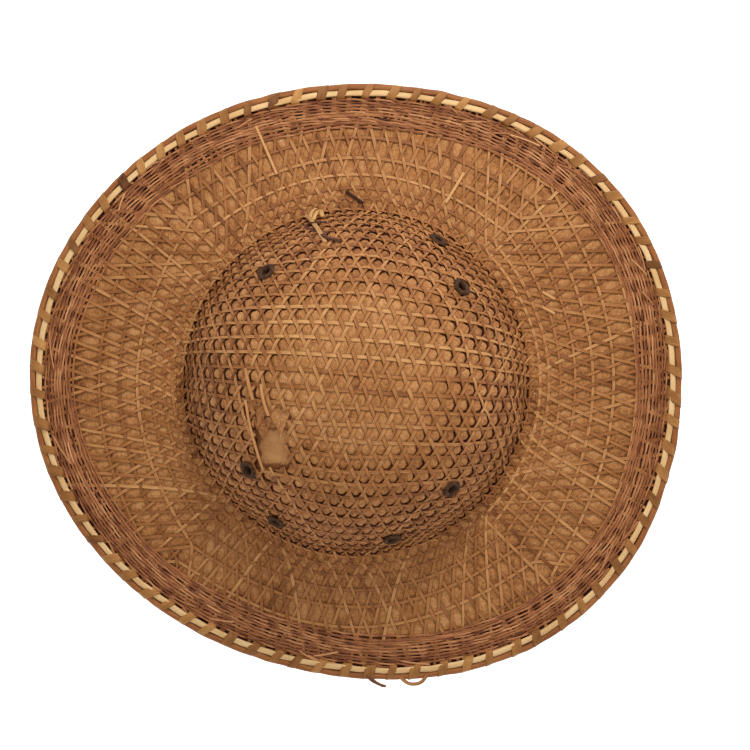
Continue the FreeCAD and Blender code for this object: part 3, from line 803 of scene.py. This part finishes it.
def paper():
    """The smooth lining under the leaf of the crown, which shows at the torn place, and of the brim."""
    points, normals = crown_grid(0.4, RINGS, 60)[4:6]
    height = PAPER_LEVEL + 0.35 * wander(points, 9.0, 41)
    cap_centre(points, normals, height)
    piece = Piece("crown_paper_skin", "crown_paper", "paper", paper_look)
    # Painted shade: the paper is painted darker within a band just inside the torn place's edge, and
    # darkest at the edge and under the leaf.
    painted_shade = -0.45 * ~in_tear(points, -0.4, TEAR_TOP) - 0.3 * ~in_tear(points, -1.6, TEAR_TOP + 1.5)
    skin(piece, points, normals, height, PAPER_THICK, ~near_eyelet(points, 4.2), tint=painted_shade)
    piece.build()
    angle = round_trip(480)[None, :]
    share = np.linspace(0, 1, 26)[:, None]
    r = FOOT_RADIUS - 0.5 + share * (rim_radius(angle) - FOOT_RADIUS - RIM_CLEAR - BORDER_WIDTH + 6)
    points, normals = brim_surface(angle, r)
    height = -2.7 + 0.25 * wander(points, 14.0, 42)
    piece = Piece("brim_paper_skin", "brim_paper", "paper", paper_look)
    skin(piece, points, normals, height, PAPER_THICK)
    piece.build()


# ---- border and rim

def border():
    """Rows of two fine splints twined round the strips' ends, and loose strands over them."""
    pieces = [Piece("border_twine_over", "border_rows_outside", "border", border_look),
              Piece("border_twine_under", "border_rows_inside", "border", border_look)]
    for row in range(BORDER_ROWS):
        for strand, piece in enumerate(pieces):
            twined_splint(piece, row, strand)
    for _ in range(LOOSE_STRANDS):
        loose_strand(pieces[0])
    for piece in pieces:
        piece.build()


def twined_splint(piece, row, strand):
    """One of the two splints of a row of the border, which goes up where the other goes down."""
    samples = 660
    angle = round_trip(samples)
    loop, own = circle(angle), 2 * row + strand
    share = (row + 0.5) / BORDER_ROWS
    place = np.concatenate([loop, np.full((samples, 1), share)], -1)
    inset = RIM_CLEAR + BORDER_WIDTH * (1 - share)
    inset = inset + (1.4 * wander(loop, 0.9, 48) + 0.9 * wander(place, 0.3, 50)) * (1 - share)
    phase = TWINE_TURNS * angle / 2 + (row + strand) * math.pi + 0.9 * wander(loop, 0.5, 80 + row)
    sway = 0.3 * np.sin(phase) + 0.16 * wander(loop, 0.14, 100 + own)
    points, normals = brim_surface(angle, rim_radius(angle) - inset + sway)
    height = 0.25 + 0.42 * np.cos(phase) + 0.12 * wander(loop, 0.1, 140 + own)
    width = TWINE_WIDTH * draw.uniform(0.85, 1.12) * (1 + 0.12 * wander(loop, 0.2, 170 + row))
    tint = draw.normal(0.0, 0.07) + 0.1 * wander(loop, 0.22, 200 + own)
    ribbon(piece, points + normals * height[:, None], normals, width, 0.75, ROUND, tint, True)


def loose_strand(piece):
    """The end of a splint that lies aslant over the border's outer rows."""
    samples = 14
    length = draw.uniform(0.05, 0.12)
    turn = draw.uniform(0, TAU) + np.linspace(0, length, samples)
    start = RIM_CLEAR + 0.8 + draw.uniform(0, 3)
    inset = start + draw.uniform(2, 6) * np.linspace(0, 1, samples) * draw.choice([-1, 1])
    inset = np.maximum(inset, RIM_CLEAR - 0.6)
    points, normals = brim_surface(turn, rim_radius(turn) - inset)
    lift = 0.5 + 0.7 * np.sin(np.linspace(0.2, math.pi - 0.2, samples))
    ribbon(piece, points + normals * lift[:, None], normals, 1.2, 0.6, ROUND, draw.normal(0.04, 0.1))


def hoop(node, slot_name, look, inset, height, width, thick, tint, outline=FLAT):
    """A bent hoop that follows the rim, uneven in a way that its name's length sets."""
    name = node + "_bent"
    seed = len(name)
    angle = round_trip(900)
    loop = circle(angle)
    inset = inset + 0.22 * wander(loop, 0.2, seed) + 0.2 * wander(loop, 0.07, seed + 1)
    points, normals = brim_surface(angle, rim_radius(angle) - inset)
    points[:, 2] += height + 0.1 * wander(loop, 0.1, seed + 2)
    piece = Piece(name, node, slot_name, look)
    width = width * (1 + 0.05 * wander(loop, 0.15, seed + 3))
    ribbon(piece, points, normals, width, thick, outline, tint + 0.06 * wander(loop, 0.12, 61), True)
    piece.build()


def hoops():
    """The pale hoop on top, the brown one outside and the one that the hat rests on."""
    hoop("rim_top_hoop", "pale_hoop", pale_look, 6.1, 2.1, 4.0, 1.5, 0.0)
    hoop("rim_outer_hoop", "brown_hoop", brown_look, 2.2, 0.5, 4.2, 4.2, 0.0)
    hoop("rim_under_hoop", "brown_hoop", brown_look, 5.9, -3.1, 4.6, 2.6, -0.1, UNDER)


# Section of a turn of lashing, as (distance in from the rim's edge, height over the brim).
WRAP_SECTION = np.array([(9.0, 2.6), (6.4, 3.6), (3.4, 3.5), (0.7, 2.7), (-0.2, 1.0), (0.0, -2.0),
                         (1.6, -3.9), (5.0, -4.4), (8.2, -4.0), (9.6, -1.6), (9.7, 0.9)])


def wraps():
    """Turns of flat cane round the hoops, each a little different and slanted."""
    piece = Piece("rim_lashing_wound", "rim_lashing", "lashing", cane_look)
    middle, brim_slope = 5.0, 0.30
    for k in range(WRAPS):
        angle = TAU * (k + 0.5 + draw.uniform(-0.1, 0.1)) / WRAPS
        slant = draw.normal(0.42, 0.1)
        width = WRAP_WIDTH * draw.uniform(0.84, 1.2)
        route = round_corners(WRAP_SECTION, 0.25, 2)
        route = route + draw.normal(0, 0.05, route.shape)
        inset, height = route[:, 0], route[:, 1]
        turn = angle - slant * (middle - inset) / RIM_MEAN
        points, _ = brim_surface(turn, rim_radius(turn) - middle)
        edge = polar(rim_radius(turn) - inset, turn, points[:, 2])
        edge[:, 2] += height + (inset - middle) * brim_slope
        outward = edge - edge.mean(0)
        along = polar(np.ones(1), np.array([angle + math.pi / 2]), 0.0)[0]
        outward = unit(outward - (outward @ along)[:, None] * along)
        tint = draw.normal(0.05, 0.06) - (0.35 if k == DARK_WRAP else 0.0)
        ribbon(piece, edge, outward, width, 0.5, CANE, tint, True)
    piece.build()


def beside_rim(direction, out, height):
    """A point in a direction in degrees, at a distance out from the rim and a height."""
    angle = math.radians(direction)
    return polar(rim_radius(angle) + out, np.array([angle]), height)[0]


def loose_ends():
    """The frayed tail and the loop of cane that stick out at the rim."""
    tail = Piece("lashing_tail_frayed", "lashing_tail", "lashing", cane_look)
    for shift in (0.0, 0.45):
        route = [(-88.2 + shift, -2.5, 8.6), (-87.0 + shift, 1.2, 8.9),
                 (-85.9 + shift * 0.6, 2.9 + shift, 8.2), (-84.9 + shift, 4.6, 6.9)]
        spline(tail, [beside_rim(*place) for place in route], 1.8, 0.5, -0.25)
    tail.build()
    loop = Piece("lashing_loop_bent", "lashing_loop", "pale_hoop", pale_look)
    route = [(-81.6, -2.5, 8.6), (-80.9, 1.2, 9.2), (-79.9, 3.4, 9.0), (-78.4, 3.5, 8.8),
             (-77.3, 1.6, 9.1), (-76.4, -2.5, 8.5)]
    spline(loop, [beside_rim(*place) for place in route], 2.4, 0.5, -0.12)
    loop.build()


def spline(piece, route, width, thick, tint, up=(0.0, 0.0, 1.0)):
    """A short strip through a few points, smoothed by cutting corners."""
    route = np.array(route, float)
    for _ in range(4):
        middle = np.stack([route[:-1] * 0.75 + route[1:] * 0.25, route[:-1] * 0.25 + route[1:] * 0.75], 1)
        route = np.concatenate([route[:1], middle.reshape(-1, 3), route[-1:]])
    ups = np.broadcast_to(np.array(up, float), route.shape)
    ribbon(piece, route, ups, width, thick, FLAT, tint)


# ---- eyelets, tie and torn place

def lathe(piece, middle, axis, profile, segments=48):
    """Turns a closed profile of (radius, height) round an axis."""
    side = unit(np.cross(axis, (0.3, 0.2, 1.0)))
    other = np.cross(axis, side)
    turn = round_trip(segments)[:, None, None]
    r, h = np.array(profile)[None, :, 0, None], np.array(profile)[None, :, 1, None]
    points = middle + (side * np.cos(turn) + other * np.sin(turn)) * r + axis * h
    m = len(profile)
    i, j = np.meshgrid(np.arange(segments), np.arange(m), indexing="ij")
    ahead, beside = (i + 1) % segments, (j + 1) % m
    faces = np.stack([i * m + j, ahead * m + j, ahead * m + beside, i * m + beside], -1).reshape(-1, 4)
    points = points.reshape(-1, 3)
    piece.add(points, faces, points)


def eyelets():
    """The rolled eyelets, turned from (radius, height) profiles, and the washers behind them."""
    barrel = EYELET_HOLE + 0.5
    rolled = [(EYELET_HOLE, -6.6), (EYELET_HOLE, 0.6), (3.1, 1.3), (3.7, 1.85), (4.5, 2.05), (5.3, 1.8),
              (6.0, 1.25), (EYELET_FLANGE, 0.8), (6.1, 0.6), (4.6, 0.9), (barrel, 0.5), (barrel, -6.6)]
    washer = [(3.5, -6.4), (3.7, -6.1), (5.6, -6.1), (5.9, -6.3), (5.7, -6.8), (3.6, -6.8)]
    metal = Piece("eyelets_rolled", "eyelets", "eyelet_metal", metal_look)
    backs = Piece("eyelet_washers_pressed", "eyelet_washers", "eyelet_metal", metal_look)
    for middle, axis in eyelet_frames()[:-1]:
        lathe(metal, middle, axis, rolled)
        lathe(backs, middle, axis, washer)
    metal.build()
    backs.build()


# The knotted cane, each strip as (its places as x, y and height over the crown, width, thickness, tint).
TIE_STRIPS = [
    ([(-36.0, 101.0, 0.2), (-29.0, 100.0, 0.4), (-20.0, 95.0, 0.2)], 6.0, 0.5, -0.95),
    ([(-33.3, 108.4, 0.8), (-29.0, 104.0, 2.6), (-24.0, 97.0, 2.4), (-19.5, 89.5, 0.9)], 3.0, 0.7, -0.14),
    ([(-27.0, 103.0, 2.8), (-25.0, 107.0, 4.4), (-22.8, 109.5, 3.6), (-21.3, 105.5, 2.4)], 2.8, 0.6, -0.06),
    ([(-30.0, 104.5, 1.6), (-28.0, 109.0, 4.0), (-26.0, 112.0, 2.8)], 2.6, 0.6, 0.05),
    ([(-31.0, 102.0, 1.0), (-26.0, 101.0, 3.2), (-19.0, 103.0, 1.0)], 2.2, 0.7, -0.7),
    ([(-24.0, 97.0, 1.2), (-20.0, 92.0, 1.8), (-15.0, 90.5, 2.0), (-9.0, 90.0, 1.0)], 2.6, 0.9, -0.85),
]


def crown_spot(x, y, lift):
    """A point over x, y on the crown, raised by lift along the normal."""
    s = distance_at(math.hypot(x, y))
    point, normal = crown_surface(np.array([s]), np.array([math.atan2(y, x)]))
    return point[0] + normal[0] * lift


def crown_up(x, y):
    """The crown's outward normal over x, y."""
    return crown_spot(x, y, 1.0) - crown_spot(x, y, 0.0)


# The torn leaf's flaps: two corners and a tip from the middle of the torn place, curl and tint.
FLAPS = [
    ([(-12, 22), (2, 20), (-9, 3)], 0.5, -0.06),
    ([(-13, 8), (2, 12), (-5, -5)], 0.9, -0.12),
    ([(-5, 17), (13, 16), (7, -3)], 1.3, -0.02),
    ([(13, 4), (11, -9), (8, -3)], 0.8, -0.08),
]


# Broken splints: places as x, y and height over the weave, width and tint.
BROKEN = [
    ([(-70.0, -11.0, 1.0), (-67.0, -29.0, 0.9), (-62.0, -47.0, 0.7), (-59.0, -57.0, 0.3)], 1.7, 0.12),
    ([(-70.0, 9.0, 1.0), (-67.0, -3.0, 1.8), (-65.0, -11.0, 1.3)], 2.4, 0.22),
    ([(-60.0, -1.0, 0.9), (-58.5, -11.0, 1.5), (-55.0, -21.0, 1.3)], 2.1, 0.2),
    ([(70.3, 137.0, 1.2), (66.0, 129.5, 1.4), (58.4, 117.2, 1.1)], 2.0, 0.42),
    ([(121.5, 59.0, 1.2), (129.5, 54.5, 1.1)], 1.8, 0.42),
    ([(121.5, 49.0, 1.2), (129.5, 45.0, 1.1)], 1.7, 0.4),
    ([(-6.9, 124.5, 1.2), (-2.0, 121.0, 1.3), (4.6, 116.6, 1.0)], 2.0, -0.8),
    ([(-66.0, 168.0, 1.2), (-58.0, 150.0, 1.2), (-52.0, 136.0, 1.1)], 1.7, 0.2),
]


def surface_spot(x, y, lift):
    """A point over x, y on the brim or the crown, raised by lift."""
    if math.hypot(x, y) < FOOT_RADIUS:
        return crown_spot(x, y, lift)
    point, normal = brim_surface(np.array([math.atan2(y, x)]), np.array([math.hypot(x, y)]))
    return point[0] + normal[0] * lift


def cane_tie():
    """The knotted strips of cane at the place that has lost its eyelet."""
    tie = Piece("cane_tie_knotted", "cane_tie", "pale_hoop", pale_look)
    for places, width, thick, tint in TIE_STRIPS:
        spline(tie, [crown_spot(*place) for place in places], width, thick, tint, crown_up(*places[0][:2]))
    tie.build()


def torn_place():
    """The curled flaps of leaf at the torn place, and the broken splints there and on the brim."""
    x, y = TEAR_MIDDLE
    flap = Piece("torn_leaf_flap_curled", "torn_leaf_flap", "leaf", leaf_look)
    for corners, curl, tint in FLAPS:
        scrap(flap, *[(x + right, y + up) for right, up in corners], curl, tint)
    flap.build()
    broken = Piece("broken_splints_split", "broken_splints", "splint", splint_look)
    for places, width, tint in BROKEN:
        spline(broken, [surface_spot(*place) for place in places], width, 0.5, tint)
    broken.build()


def scrap(piece, first, second, tip, curl, tint):
    """A torn three-cornered bit of leaf over the crown, whose tip curls up."""
    rows, columns = 12, 9
    down, across = np.meshgrid(np.linspace(0, 1, rows), np.linspace(0, 1, columns), indexing="ij")
    narrow = across * (1 - 0.6 * down ** 2) + 0.3 * down ** 2
    a, b, c = (np.array(corner) for corner in (first, second, tip))
    place = (a + (b - a) * narrow[..., None]) * (1 - down[..., None]) + c * down[..., None]
    place = place + 0.5 * wander(place, 5.0, 71)[..., None] * down[..., None]
    s = distance_at(np.hypot(place[..., 0], place[..., 1]))
    points, normals = crown_surface(s, np.arctan2(place[..., 1], place[..., 0]))
    height = -1.2 + (1.2 + curl) * down ** 1.5 + 0.25 * wander(place, 6.0, 72)
    skin(piece, points, normals, height, 0.35, wrap=False, tint=tint)


def distance_at(radius):
    """Distance along the crown from its top to where it has a radius, as far as its foot."""
    distances = np.linspace(0, CROWN_ARC, 400)
    return np.interp(radius, crown_profile(distances)[0], distances)


# ---- head ring

def head_oval(grow, angle):
    """Radius of a level oval that is outside the head ring's inner face by grow."""
    return 1 / np.hypot(np.cos(angle) / (HEAD_LONG + grow), np.sin(angle) / (HEAD_SHORT + grow))


def head_ring():
    """The plaited band inside the hat, and its two bindings."""
    angle = round_trip(720)
    facing = polar(np.ones(720), angle, 0.0)
    band = Piece("head_ring_plaited", "head_ring", "lining_splint", lining_look)
    uprights, rows, samples = 90, 5, 24
    for row in range(rows):
        height = HEAD_RING_BOTTOM + 2.4 + row * 4.3
        depth = 0.6 + 0.35 * np.cos(angle * uprights / 2 + row * math.pi)
        ribbon(band, polar(head_oval(depth, angle), angle, height), facing, 3.9, 0.45, FLAT, closed=True)
    for k in range(uprights):
        turn = np.full(samples, TAU * (k + 0.5) / uprights)
        rise = np.linspace(0, 1, samples)
        weave = 0.6 - 0.35 * np.cos(k * math.pi + rise * rows * math.pi)
        centres = polar(head_oval(weave, turn), turn, HEAD_RING_BOTTOM + rise * HEAD_RING_HEIGHT)
        ribbon(band, centres, polar(np.ones(samples), turn, 0.0), 3.2, 0.4, FLAT)
    band.build()
    for place, height in (("upper", HEAD_RING_HEIGHT - 2), ("lower", 2.0)):
        name = "head_ring_%s_binding" % place
        binding = Piece(name + "_bent", name, "pale_hoop", pale_look)
        route = polar(head_oval(2.2, angle), angle, HEAD_RING_BOTTOM + height)
        ribbon(binding, route, facing, 4.0, 1.4, FLAT, closed=True)
        binding.build()


def head_ring_ties():
    """Four loops of cane that hold the head ring to the inner weave."""
    ties = Piece("head_ring_ties_looped", "head_ring_ties", "lashing", cane_look)
    middle, half = HEAD_RING_BOTTOM + HEAD_RING_HEIGHT / 2, HEAD_RING_HEIGHT / 2 + 3.6
    low, high = middle - half, middle + half
    for direction in (52, 128, 232, 308):
        angle = math.radians(direction)
        inner = head_oval(-1.0, angle)
        corners = np.array([(inner, low), (TIE_REACH, low), (TIE_REACH, high), (inner, high)])
        corners = round_corners(corners, 0.18, 3)
        route = polar(corners[:, 0], np.full(len(corners), angle), corners[:, 1])
        ribbon(ties, route, unit(route - route.mean(0)), 3.0, 0.7, FLAT, closed=True)
    ties.build()


# ---- camera, light and floor

FLOOR_LEVEL = -0.3
FLOOR_GLOW = 0.95
SKY_STRENGTH = 0.31
# Lamps: name, place in metres, size and power.
LAMPS = [("window", (0.3, 1.2, 1.15), 0.5, 16.5), ("fill", (0.05, -0.3, 1.7), 0.9, 11.0)]


def floor():
    """A floor in rings that follow the hat's outline and glow only outside it."""
    steps = 180
    angle = round_trip(steps)[None, :]
    reach = rim_radius(angle)
    r = np.concatenate([reach * 0.01, reach - 14, reach - 6, reach * 5, reach * 25])
    glow = np.repeat(np.array([0, 0, 1, 1, 1]) * FLOOR_GLOW, steps)
    corners = polar(r, angle + 0 * r, FLOOR_LEVEL).reshape(-1, 3) * MM + CROWN_AXIS
    faces = [tuple(range(steps))]
    for near in range(0, 4 * steps, steps):
        for b in range(steps):
            ahead = (b + 1) % steps
            faces.append((near + steps + b, near + steps + ahead, near + ahead, near + b))
    mesh = bpy.data.meshes.new("floor")
    mesh.from_pydata(corners.tolist(), [], faces)
    mesh.attributes.new("tint", "FLOAT", "POINT").data.foreach_set("value", glow)
    mesh.materials.append(studio_floor("studio_floor"))
    show("floor", mesh)


def lights():
    """Two soft lamps that face the hat, and a pale sky."""
    for name, place, size, power in LAMPS:
        light = bpy.data.lights.new(name, "AREA")
        light.size = size
        light.energy = power
        lamp = show(name, light)
        lamp.location = place
        away = Vector(place) - Vector((0, 0, 0.05))
        lamp.rotation_euler = away.to_track_quat("Z", "Y").to_euler()
    world = bpy.data.worlds.new("studio")
    world.use_nodes = True
    sky = world.node_tree.nodes["Background"].inputs
    sky["Color"].default_value = (1, 1, 1, 1)
    sky["Strength"].default_value = SKY_STRENGTH
    bpy.context.scene.world = world


def camera():
    """Straight above, looking down, with +Y up in the picture."""
    view_width, distance = 0.495, 3.0
    lens = bpy.data.cameras.new("photo")
    lens.sensor_width = 36
    lens.lens = 36 * distance / view_width
    eye = show("photo", lens)
    eye.location = (0.0127, 0.0066, distance)
    bpy.context.scene.camera = eye


bpy.context.scene.view_settings.view_transform = "Standard"
floor()
lights()
camera()
outer_crown()
lining()
brim_weave()
crown_leaves()
brim_leaves()
paper()
border()
hoops()
wraps()
loose_ends()
eyelets()
cane_tie()
torn_place()
head_ring()
head_ring_ties()
